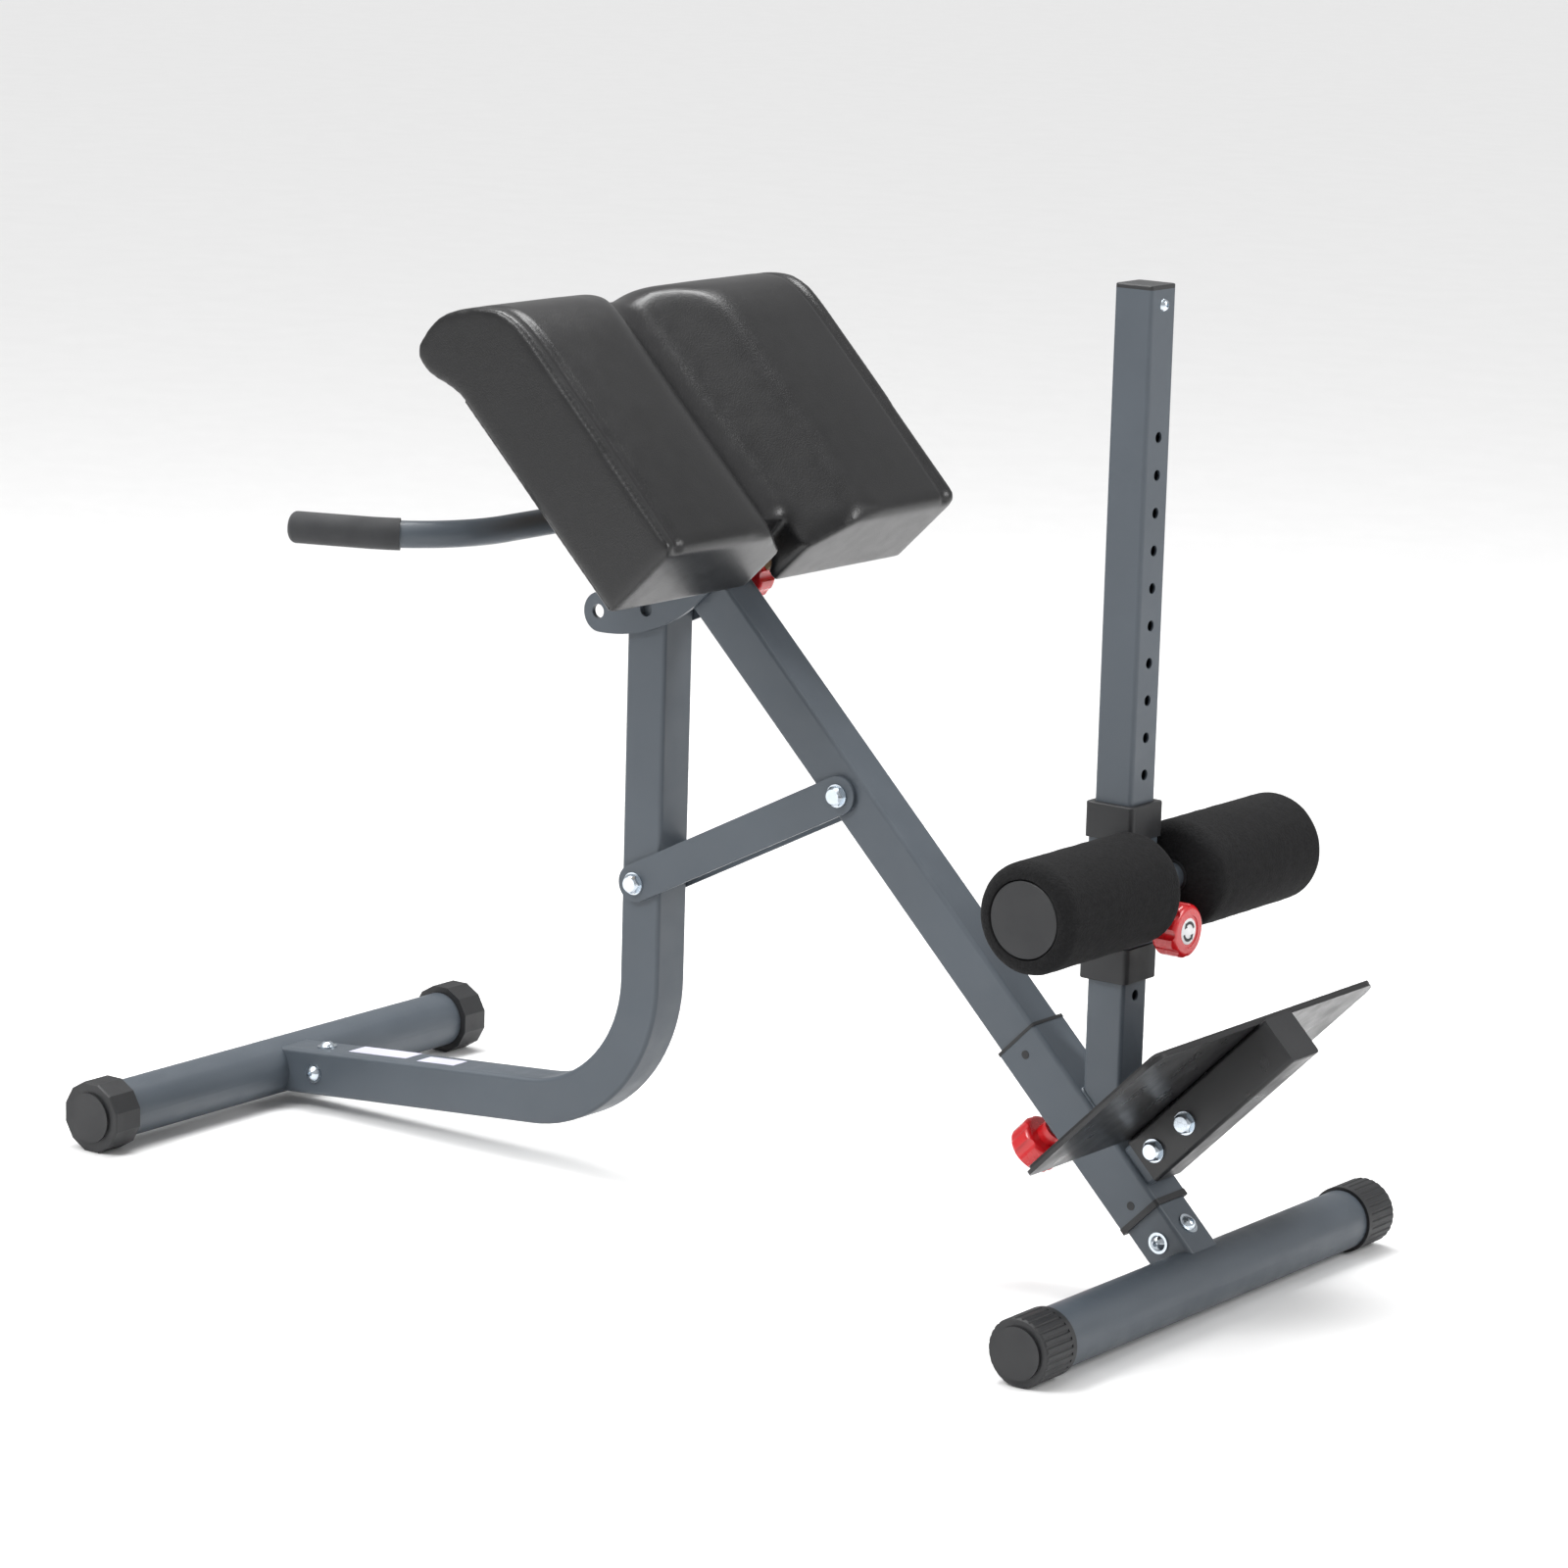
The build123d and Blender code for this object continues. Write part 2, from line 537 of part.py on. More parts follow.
def sleeve_bush(end):
    """Plastic liner in one end of the lower sleeve, with a rim outside it."""
    lip = 6.0 if end < 0 else 3.0
    edge = SLEEVE_BOTTOM if end < 0 else SLEEVE_TOP
    rim = Box(lip, SLEEVE_W + 1, SLEEVE_D + 1)
    rim = fillet(rim.edges().filter_by(Axis.X), CORNER_R)
    liner = Box(32, SLEEVE_W - 2 * WALL, SLEEVE_D - 2 * WALL)
    liner = Pos(-end * (lip / 2 + 16), 0, 0) * fillet(liner.edges().filter_by(Axis.X), CORNER_R - WALL)
    bore = Box(120, TUBE_W + 2 * GAP, TUBE_D + 2 * GAP)
    bore = fillet(bore.edges().filter_by(Axis.X), CORNER_R - 1.5)
    bush = on_beam(edge + end * lip / 2) * (rim + liner - bore)
    place = SLEEVE_BOTTOM + 10 if end < 0 else SLEEVE_TOP - 15
    for side in (-1, 1):
        button = Rot(90, 0, 0) * Cylinder(4.0, WALL + 0.6)
        bush += on_beam(place, 0, side * (SLEEVE_W / 2 - WALL / 2)) * button
    return bush


def post():
    bottom_t = SLEEVE_D / 2
    low = FRONT_Z + FRONT_X - POST_X
    tube = extrude(Pos(POST_X, 0, low) * tube_section(POST_SIZE, POST_SIZE, WALL), POST_TOP - low)
    tube -= on_beam(120, bottom_t - 250) * Box(900, 200, 500)
    for i in range(HOLE_COUNT):
        hole = Pos(POST_X + POST_SIZE / 2, 0, HOLE_TOP - HOLE_PITCH * i)
        tube -= hole * Rot(0, 90, 0) * Cylinder(HOLE_D / 2, 20)
    tube -= Pos(POST_X + POST_SIZE / 2, 0, POST_TOP - 14) * Rot(0, 90, 0) * Cylinder(3.1, 20)
    return tube


def post_cap():
    lid = extrude(Pos(POST_X, 0, POST_TOP) * RectangleRounded(POST_SIZE, POST_SIZE, CORNER_R), 4)
    lid = fillet(lid.faces().sort_by(Axis.Z)[-1].edges(), 1.5)
    inside = POST_SIZE - 2 * WALL
    plug = extrude(Pos(POST_X, 0, POST_TOP - 8) * tube_section(inside, inside, 3.0), 8)
    return lid + (plug & (Pos(POST_X, 0, POST_TOP - 4) * Box(inside, inside, 8)))


def post_stop():
    """The stop screw near the post's top that keeps the roller carriage on."""
    place = Pos(POST_X + POST_SIZE / 2, 0, POST_TOP - 14) * Rot(0, 90, 0)
    return place * button_screw(6, 12, 12, 4.0)


def footplate():
    """Steel plate under the feet, its corners rounded."""
    length = PLATE_T1 - PLATE_T0
    plate = Box(PLATE_THICK, 2 * PLATE_HALF_WIDTH, length)
    corners = plate.edges().filter_by(Axis.X)
    plate = fillet(corners.sort_by(Axis.Z)[2:], 18.0)
    plate = fillet(plate.edges().filter_by(Axis.X).sort_by(Axis.Z)[:2], 6.0)
    return on_beam(PLATE_S + PLATE_THICK / 2, (PLATE_T0 + PLATE_T1) / 2) * plate


def footplate_mat():
    """Rubber mat on the footplate, with ribs across it."""
    length = PLATE_T1 - PLATE_T0 - 6
    mat = Box(3.0, 2 * PLATE_HALF_WIDTH - 6, length)
    mat = fillet(mat.edges().filter_by(Axis.X), 6.0)
    ribs = int(length // 12)
    for i in range(ribs):
        z = (i - (ribs - 1) / 2) * 12.0
        mat += Pos(2.0, 0, z) * Box(1.4, 2 * PLATE_HALF_WIDTH - 30, 5.0)
    return on_beam(PLATE_S + PLATE_THICK + 1.5, (PLATE_T0 + PLATE_T1) / 2) * mat


def footplate_arm():
    arm = Rot(0, -90, 0) * square_tube(ARM_T1 - ARM_T0, TUBE_W, ARM_SIZE, ARM_WALL, ARM_T0)
    arm = Pos(PLATE_S - ARM_SIZE / 2, 0, 0) * arm
    for t in ARM_BOLTS:
        arm -= Pos(PLATE_S - ARM_SIZE / 2, 0, t) * Rot(90, 0, 0) * Cylinder(5.1, 80)
    return BEAM * arm


def arm_cap():
    lid = Box(ARM_SIZE, TUBE_W, 4)
    lid = fillet(lid.edges().filter_by(Axis.Z), CORNER_R)
    plug = Box(ARM_SIZE - 2 * ARM_WALL, TUBE_W - 2 * ARM_WALL, 14)
    plug = fillet(plug.edges().filter_by(Axis.Z), CORNER_R - ARM_WALL)
    plug = Pos(0, 0, -8) * (plug - Box(ARM_SIZE - 10, TUBE_W - 10, 15))
    return on_beam(PLATE_S - ARM_SIZE / 2, ARM_T1 + 2) * (lid + plug)


def arm_hardware():
    bolts, washers, nuts = [], [], []
    face = TUBE_W / 2
    for t in ARM_BOLTS:
        near = on_beam(PLATE_S - ARM_SIZE / 2, t, -face) * Rot(-90, 0, 0)
        far = on_beam(PLATE_S - ARM_SIZE / 2, t, face) * Rot(90, 0, 0)
        shank = Cylinder(5.0, 2 * face + 16, align=(Align.CENTER, Align.CENTER, Align.MAX))
        bolts.append(near * Pos(0, 0, 1.8) * (hex_head(17, 6.5) + shank))
        washers += [near * washer(10.1, 22, 1.8), far * washer(10.1, 22, 1.8)]
        nuts.append(far * Pos(0, 0, 1.8) * (hex_head(17, 9) - Cylinder(5.05, 40)))
    return group(bolts), group(washers), group(nuts)


# ---- roller carriage ----------------------------------------------------------------
def pin_height():
    return HOLE_TOP - HOLE_PITCH * ROLLER_HOLE


def roller_sleeve():
    """The short steel sleeve on the post."""
    length = CARRIAGE_HIGH - CARRIAGE_LOW
    section = tube_section(CARRIAGE_OUTER, CARRIAGE_OUTER, WALL)
    sleeve = extrude(Pos(POST_X, 0, CARRIAGE_LOW) * section, length)
    return sleeve - Pos(POST_X + CARRIAGE_OUTER / 2, 0, pin_height()) * Rot(0, 90, 0) * Cylinder(PIN_BORE, 8)


def roller_bush(end):
    """A plastic bush over one end of the roller carriage's sleeve."""
    centre = CARRIAGE_HIGH + 4 - BUSH_LENGTH / 2 if end > 0 else CARRIAGE_LOW - 4 + BUSH_LENGTH / 2
    block = Box(BUSH_SIZE, BUSH_SIZE, BUSH_LENGTH)
    block = fillet(block.edges().filter_by(Axis.Z), CORNER_R + 1)
    block = fillet(block.faces().sort_by(Axis.Z)[-1 if end > 0 else 0].edges(), 1.5)
    pocket = Box(CARRIAGE_OUTER, CARRIAGE_OUTER, BUSH_LENGTH)
    pocket = Pos(0, 0, -end * 4) * fillet(pocket.edges().filter_by(Axis.Z), CORNER_R)
    bore = Box(POST_SIZE + 2 * GAP, POST_SIZE + 2 * GAP, BUSH_LENGTH + 2)
    bore = fillet(bore.edges().filter_by(Axis.Z), CORNER_R - 0.5)
    return Pos(POST_X, 0, centre) * (block - pocket - bore)


def roller_axle():
    """Cross tube welded to the front of the roller sleeve."""
    half = ROLLER_OUTER_Y - 4
    tube = bar_y(AXLE_D / 2, -half, half) - bar_y(AXLE_D / 2 - WALL, -half - 1, half + 1)
    return roller_axis() * tube


def roller_axis():
    return Pos(POST_X + CARRIAGE_OUTER / 2 + AXLE_D / 2 + AXLE_WELD, 0, ROLLER_Z)


def foam_roller(side):
    """Foam sleeve with soft rounded ends, turning on its core tube."""
    length = ROLLER_OUTER_Y - ROLLER_INNER_Y
    roll = Cylinder(ROLLER_D / 2, length)
    roll = fillet(roll.edges().filter_by(GeomType.CIRCLE), 9.0)
    roll -= Cylinder(AXLE_D / 2 + 3.0, length + 2)
    roll -= Pos(0, 0, length / 2 - 1) * Cylinder(36.2, 6.0)
    centre = (ROLLER_OUTER_Y + ROLLER_INNER_Y) / 2
    return roller_axis() * Pos(0, side * centre, 0) * Rot(-90 * side, 0, 0) * roll


def roller_core(side):
    """Plastic tube pressed into the foam, which runs on the axle."""
    length = ROLLER_OUTER_Y - ROLLER_INNER_Y - 6
    core = Cylinder(AXLE_D / 2 + 3.0, length) - Cylinder(AXLE_D / 2 + GAP, length + 2)
    centre = ROLLER_INNER_Y + length / 2
    return roller_axis() * Pos(0, side * centre, 0) * Rot(90, 0, 0) * core


def roller_end_cap(side):
    """Plain disc plugged into the end of the axle, which keeps the foam on."""
    disc = Pos(0, 0, 1.5) * Cylinder(35.0, 3.0)
    disc = fillet(disc.faces().sort_by(Axis.Z)[-1].edges(), 1.2)
    plug = Pos(0, 0, -9) * Cylinder(AXLE_D / 2 - WALL, 18)
    return roller_axis() * Pos(0, side * (ROLLER_OUTER_Y - 3.4), 0) * Rot(-90 * side, 0, 0) * (disc + plug)


# ---- knobs --------------------------------------------------------------------------
def knob_head(neck):
    """A fluted knob along +Z: round neck, then a head with eight grip lobes."""
    head = Pos(0, 0, neck + 13) * Cylinder(KNOB_D / 2, 26)
    head = fillet(head.edges().filter_by(GeomType.CIRCLE), 5.0)
    for i in range(8):
        head -= Rot(0, 0, 45 * i) * Pos(KNOB_D / 2 + 5.5, 0, neck + 13) * Cylinder(8.0, 40)
    shaft = Pos(0, 0, neck / 2 + 1) * Cylinder(12.0, neck + 2)
    recess = Pos(0, 0, neck + 26) * Cylinder(15.0, 1.2)
    return shaft + head - recess


def knob_set(place, neck, reach):
    """Knob with its plunger, and the barrel welded to the frame that they slide in."""
    foot = 11.0
    top = foot + neck + 8.0
    hollow = Cylinder(BARREL_R + 0.4, top, align=(Align.CENTER, Align.CENTER, Align.MIN))
    knob = Pos(0, 0, foot) * knob_head(neck) - hollow
    pin = Pos(0, 0, (top - reach) / 2) * Cylinder(PIN_R, top + reach)
    barrel = Pos(0, 0, BARREL_LENGTH / 2) * (Cylinder(BARREL_R, BARREL_LENGTH) - Cylinder(PIN_BORE, 30))
    return place * knob, place * pin, place * barrel


def roller_knob():
    place = Pos(POST_X + CARRIAGE_OUTER / 2, 0, pin_height()) * Rot(0, 90, 0)
    return knob_set(place, 14, 1.6)


def carriage_knob():
    return knob_set(on_beam(CARRIAGE_PIN, -SLEEVE_D / 2) * Rot(180, 0, 0), 12, 2)


def pad_knob():
    """The pad's index pin, held outside the right quadrant plate by a bracket on the beam."""
    inner = QUADRANT_Y + QUADRANT_THICK + 1
    outer = inner + 4
    pin_x, pin_z = index_place(0)
    knob, pin, barrel = knob_set(Pos(pin_x, outer, pin_z) * Rot(-90, 0, 0), 8, 4.5)
    low, high = PAD_PIVOT - INDEX_R - 40, PAD_PIVOT - INDEX_R + 15
    bracket = on_beam((low + high) / 2, -4, (inner + outer) / 2) * Box(high - low, 4, 34)
    bracket += on_beam(low + 7, -4, (TUBE_W / 2 + outer) / 2) * Box(14, outer - TUBE_W / 2, 34)
    bracket -= Pos(pin_x, 0, pin_z) * bar_y(PIN_BORE, 20, 60)
    return knob, pin, barrel + bracket


def blank_labels():
    """Two blank stickers on top of the low leg."""
    leg = Pos(REAR_X, 0, REAR_Z) * Rot(0, -LEG_RISE, 0)
    long = leg * Pos(135, 6, TUBE_D / 2 + 0.15) * Box(76, 26, 0.3)
    short = leg * Pos(215, 0, TUBE_D / 2 + 0.15) * Box(48, 22, 0.3)
    return group([long, short])


# ---- write every sub-part -----------------------------------------------------------
def build():
    os.makedirs("parts", exist_ok=True)
    save("rear_foot_tube", rear_foot_tube())
    save("front_foot_tube", front_foot_tube())
    for side, name in ((-1, "left"), (1, "right")):
        save("rear_foot_cap_" + name, rear_foot_cap(side))
        save("front_foot_cap_" + name, front_foot_cap(side))
        save("brace_" + name, brace(side))
        save("quadrant_plate_" + name, quadrant_plate(side))
        save("handle_grip_" + name, handle_grip(side))
        save("foam_roller_" + name, foam_roller(side))
        save("roller_core_" + name, roller_core(side))
    save("rear_upright", rear_upright())
    save("main_beam", main_beam())
    save("beam_top_cap", beam_top_cap())
    save("handlebar", handlebar())
    save("blank_labels", blank_labels())
    for name, shape in zip(("bolts", "washers", "nuts"), brace_hardware()):
        save("brace_" + name, shape)
    for name, shape in zip(("screws", "washers"), foot_hardware()):
        save("foot_" + name, shape)
    save("pad_crossbars", group([pad_crossbar(s) for s in PAD_BAR_PLACES]))
    save("pad_board", pad_board())
    save("hip_pad", hip_pad())
    save("pad_screws", pad_screws())
    for name, shape in zip(("bolt", "nut", "bushes"), pivot_hardware()):
        save("pad_pivot_" + name, shape)
    save("lower_sleeve", lower_sleeve())
    save("lower_sleeve_bush_bottom", sleeve_bush(-1))
    save("lower_sleeve_bush_top", sleeve_bush(1))
    save("post", post())
    save("post_cap", post_cap())
    save("post_stop_screw", post_stop())
    save("footplate", footplate())
    save("footplate_mat", footplate_mat())
    save("footplate_arm", footplate_arm())
    save("footplate_arm_cap", arm_cap())
    for name, shape in zip(("bolts", "washers", "nuts"), arm_hardware()):
        save("arm_" + name, shape)
    save("roller_sleeve", roller_sleeve())
    save("roller_bush_upper", roller_bush(1))
    save("roller_bush_lower", roller_bush(-1))
    save("roller_axle", roller_axle())
    save("roller_end_caps", group([roller_end_cap(-1), roller_end_cap(1)]))
    for name, pieces in (("roller", roller_knob()), ("carriage", carriage_knob()), ("pad", pad_knob())):
        save(name + "_knob", pieces[0])
        save(name + "_plunger", pieces[1])
        save(name + "_plunger_barrel", pieces[2])


build()
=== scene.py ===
import math

import bpy
from mathutils import Matrix, Vector
from mathutils.noise import noise


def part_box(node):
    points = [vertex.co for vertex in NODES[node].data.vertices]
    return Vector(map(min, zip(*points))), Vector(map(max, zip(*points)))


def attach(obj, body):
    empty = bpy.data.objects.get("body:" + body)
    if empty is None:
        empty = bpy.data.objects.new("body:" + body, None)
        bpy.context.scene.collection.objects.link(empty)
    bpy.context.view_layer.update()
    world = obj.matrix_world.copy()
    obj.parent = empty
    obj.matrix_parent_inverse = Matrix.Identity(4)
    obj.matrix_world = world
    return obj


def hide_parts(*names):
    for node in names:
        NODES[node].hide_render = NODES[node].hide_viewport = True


# Looks of the roman chair, in metres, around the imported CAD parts.
# "Beam coordinates" are s along the sloping beam and t square to it, from the front foot's axis.

DIAGONAL = math.sqrt(0.5)
MM = 0.001

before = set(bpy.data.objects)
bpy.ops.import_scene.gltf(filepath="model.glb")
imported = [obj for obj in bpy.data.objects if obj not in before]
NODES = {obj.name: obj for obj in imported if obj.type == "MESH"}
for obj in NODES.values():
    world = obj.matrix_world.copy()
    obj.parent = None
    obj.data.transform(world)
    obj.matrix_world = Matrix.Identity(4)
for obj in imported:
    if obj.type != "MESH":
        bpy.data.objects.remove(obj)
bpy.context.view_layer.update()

# ---- places read from the frame -----------------------------------------------------
FOOT_LOW, FOOT_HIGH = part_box("front_foot_cap_left")
FOOT_X = (FOOT_LOW.x + FOOT_HIGH.x) / 2
FOOT_Z = FOOT_HIGH.z - (FOOT_HIGH.x - FOOT_LOW.x) / 2
PAD_HALF_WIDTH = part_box("hip_pad")[1].y
POST_LOW, POST_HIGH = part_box("post")
UPRIGHT_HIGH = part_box("rear_upright")[1]
AXLE_LOW, AXLE_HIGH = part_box("roller_axle")
SLEEVE_TOP_T = 26 * MM       # upper face of the lower sleeve, above the beam's centre line
BEAM_UNDER_T = -23 * MM      # underside of the beam

# ---- cushion ------------------------------------------------------------------------
PAD_VOXEL = 4.5 * MM
LOBE_CENTRE = 153 * MM       # middle of each lobe across the bench
LOBE_HALF = 76 * MM
LOBE_MIDDLE_S = 905 * MM     # middle of the flat of each lobe along the beam
LOBE_HALF_S = 130 * MM
CROWN = 3.0 * MM             # how far the middle of each lobe stands proud
BAND_INSET = 17 * MM         # a shallow pressed band runs inside each outer long edge
BAND_HALF = 9 * MM
BAND_DEPTH = 2.6 * MM
VALLEY_HALF = 78 * MM        # half width of the valley between the two lobes
END_GROOVE_HALF = 62 * MM    # the valley runs on, shallower, over the upper end
END_GROOVE_DEPTH = 11 * MM
END_GROOVE_START = 1035 * MM
END_GROOVE_FADE = 50 * MM
PAD_BACK_T = 40 * MM
PIPING_RADIUS = 3.0 * MM
PIPING_S0 = 779 * MM
PIPING_S1 = 1024 * MM

# ---- foam ---------------------------------------------------------------------------
FOAM_END_ROUND = 13 * MM
FOAM_RIPPLE = 0.35 * MM
FOAM_TURNS = 8               # rings in each rounded end


# ---- geometry helpers ---------------------------------------------------------------
def from_beam(s, t, y):
    """The point at beam coordinates s, t and across the bench at y."""
    return Vector((FOOT_X + (t - s) * DIAGONAL, y, FOOT_Z + (t + s) * DIAGONAL))


def to_beam(point):
    """Beam coordinates (s, t, y) of a point."""
    along = (point.z - FOOT_Z - point.x + FOOT_X) * DIAGONAL
    above = (point.z - FOOT_Z + point.x - FOOT_X) * DIAGONAL
    return along, above, point.y


def at_height_above_beam(x, y, t):
    """The point over x and y that lies t above the beam's centre line."""
    return from_beam(t - (x - FOOT_X) / DIAGONAL, t, y)


def new_object(name, vertices, faces, smooth=True):
    mesh = bpy.data.meshes.new(name)
    mesh.from_pydata([tuple(v) for v in vertices], [], faces)
    mesh.update()
    mesh.polygons.foreach_set("use_smooth", [smooth] * len(mesh.polygons))
    piece = bpy.data.objects.new(name, mesh)
    bpy.context.scene.collection.objects.link(piece)
    return piece


def use_only(piece):
    bpy.ops.object.select_all(action="DESELECT")
    piece.select_set(True)
    bpy.context.view_layer.objects.active = piece


def apply_modifiers(piece):
    use_only(piece)
    for modifier in list(piece.modifiers):
        bpy.ops.object.modifier_apply(modifier=modifier.name)


def swept(name, points, radius, closed=False, ripple=0.0, sides=10):
    """A round bead along points. Its radius swells and shrinks by the share ripple."""
    vertices = []
    count = len(points)
    for i, point in enumerate(points):
        before = points[i - 1] if closed or i else point
        after = points[(i + 1) % count] if closed or i + 1 < count else point
        along = (after - before).normalized()
        side = along.cross(Vector((0.3, 0.2, 1))).normalized()
        up = side.cross(along)
        size = radius * (1 + ripple * math.sin(2.4 * i))
        for k in range(sides):
            angle = 2 * math.pi * k / sides
            vertices.append(point + size * (math.cos(angle) * side + math.sin(angle) * up))
    rings = count if closed else count - 1
    faces = []
    for i in range(rings):
        near, far = i * sides, (i + 1) % count * sides
        for k in range(sides):
            after = (k + 1) % sides
            faces.append((near + k, near + after, far + after, far + k))
    if not closed:
        faces.append(tuple(range(sides)))
        faces.append(tuple(reversed(range((count - 1) * sides, count * sides))))
    return new_object(name, vertices, faces)


def lathe(name, profile, centre, side, segments=96, wobble=0.0):
    """Turns (y, radius) pairs around an axis along Y through centre; side mirrors it in Y."""
    vertices, faces = [], []
    for y, radius in profile:
        for k in range(segments):
            angle = 2 * math.pi * k / segments
            place = Vector((math.cos(angle), y * 40, math.sin(angle)))
            size = radius + wobble * noise(place * 3)
            vertices.append(Vector((centre.x + size * math.cos(angle), side * y,
                                    centre.z + size * math.sin(angle))))
    for i in range(len(profile) - 1):
        for k in range(segments):
            after = (k + 1) % segments
            faces.append((i * segments + k, i * segments + after,
                          (i + 1) * segments + after, (i + 1) * segments + k))
    return new_object(name, vertices, faces)


# ---- materials ----------------------------------------------------------------------
def material(name, colour, roughness, metallic=0.0, coat=0.0, specular=0.5, sheen=0.0):
    """A Principled material with constant values on its own sockets."""
    made = bpy.data.materials.new(name)
    made.use_nodes = True
    shader = made.node_tree.nodes["Principled BSDF"]
    shader.inputs["Base Color"].default_value = (*colour, 1)
    shader.inputs["Roughness"].default_value = roughness
    shader.inputs["Metallic"].default_value = metallic
    shader.inputs["Coat Weight"].default_value = coat
    shader.inputs["Coat Roughness"].default_value = 0.08
    shader.inputs["Specular IOR Level"].default_value = specular
    shader.inputs["Sheen Weight"].default_value = sheen
    return made, made.node_tree, shader


def pattern(tree, kind, scale, detail=2.0):
    """A noise or voronoi pattern in metres; scale is its features per metre."""
    place = tree.nodes.new("ShaderNodeTexCoord")
    texture = tree.nodes.new("ShaderNodeTexNoise" if kind == "noise" else "ShaderNodeTexVoronoi")
    texture.inputs["Scale"].default_value = scale
    if kind == "noise":
        texture.inputs["Detail"].default_value = detail
    else:
        texture.feature = "SMOOTH_F1"
    tree.links.new(place.outputs["Object"], texture.inputs["Vector"])
    return texture.outputs["Fac" if kind == "noise" else "Distance"]


def vary_colour(tree, shader, value, dark, light):
    ramp = tree.nodes.new("ShaderNodeValToRGB")
    ramp.color_ramp.elements[0].position = 0.3
    ramp.color_ramp.elements[0].color = (*dark, 1)
    ramp.color_ramp.elements[1].position = 0.7
    ramp.color_ramp.elements[1].color = (*light, 1)
    tree.links.new(value, ramp.inputs["Fac"])
    tree.links.new(ramp.outputs["Color"], shader.inputs["Base Color"])


def vary_roughness(tree, shader, value, low, high):
    spread = tree.nodes.new("ShaderNodeMapRange")
    spread.inputs["From Min"].default_value = 0.3
    spread.inputs["From Max"].default_value = 0.7
    spread.inputs["To Min"].default_value = low
    spread.inputs["To Max"].default_value = high
    tree.links.new(value, spread.inputs["Value"])
    tree.links.new(spread.outputs["Result"], shader.inputs["Roughness"])


def add_bump(tree, shader, layers):
    """Bumps stacked on each other; layers are (pattern, height in metres) pairs."""
    last = None
    for value, height in layers:
        bump = tree.nodes.new("ShaderNodeBump")
        bump.inputs["Distance"].default_value = height
        bump.inputs["Strength"].default_value = 1.0
        tree.links.new(value, bump.inputs["Height"])
        if last:
            tree.links.new(last, bump.inputs["Normal"])
        last = bump.outputs["Normal"]
    tree.links.new(last, shader.inputs["Normal"])


def scaled(colour, share):
    return tuple(c * share for c in colour)


def finish_of(name, colour, roughness, grain, height, variation=0.12, rough_spread=0.08,
              broad=9.0, kind="noise", second=None, **options):
    """A finish with fine grain in its bump, and broad soft changes of colour and roughness."""
    made, tree, shader = material(name, colour, roughness, **options)
    cloud = pattern(tree, "noise", broad, 3.0)
    vary_colour(tree, shader, cloud, scaled(colour, 1 - variation), scaled(colour, 1 + variation))
    worn = pattern(tree, "noise", broad * 4, 4.0)
    vary_roughness(tree, shader, worn, roughness - rough_spread, roughness + rough_spread)
    layers = [(pattern(tree, kind, grain, 2.0), height)]
    if second:
        layers.append((pattern(tree, "noise", second[0], 3.0), second[1]))
    add_bump(tree, shader, layers)
    return made


FRAME_PAINT = finish_of("frame_powder_coat", (0.060, 0.073, 0.088), 0.44, 1500, 0.05 * MM,
                        variation=0.06, second=(90, 0.05 * MM))
BLACK_PAINT = finish_of("black_powder_coat", (0.010, 0.010, 0.011), 0.33, 1300, 0.05 * MM,
                        second=(120, 0.05 * MM))
BLACK_PLASTIC = finish_of("moulded_black_plastic", (0.012, 0.0125, 0.014), 0.52, 1100, 0.06 * MM)
GRIP = finish_of("grip_foam_rubber", (0.019, 0.020, 0.022), 0.8, 1400, 0.15 * MM, sheen=0.15)
ZINC = finish_of("bright_zinc", (0.60, 0.66, 0.72), 0.24, 700, 0.02 * MM, metallic=1.0,
                 variation=0.10)
RED = finish_of("red_gloss_plastic", (0.52, 0.008, 0.012), 0.26, 260, 0.05 * MM, coat=0.35,
                variation=0.08)
FOAM = finish_of("closed_cell_foam", (0.006, 0.006, 0.0065), 0.93, 620, 0.65 * MM, kind="voronoi",
                 variation=0.35, broad=240.0, second=(1900, 0.25 * MM), specular=0.25)
VINYL = finish_of("black_grained_vinyl", (0.0060, 0.0060, 0.0066), 0.34, 780, 0.13 * MM,
                  kind="voronoi", variation=0.10, broad=14.0, rough_spread=0.03, second=(40, 0.06 * MM))
BOARD = finish_of("plywood_board", (0.22, 0.14, 0.075), 0.7, 420, 0.1 * MM, variation=0.2)
RUBBER = finish_of("ribbed_rubber", (0.013, 0.013, 0.014), 0.72, 500, 0.2 * MM, kind="voronoi")
LABEL = finish_of("blank_sticker", (0.52, 0.52, 0.62), 0.38, 300, 0.02 * MM, variation=0.04)
WHITE_BADGE = finish_of("knob_badge_white", (0.72, 0.72, 0.73), 0.3, 300, 0.02 * MM,
                        variation=0.03, coat=0.3)

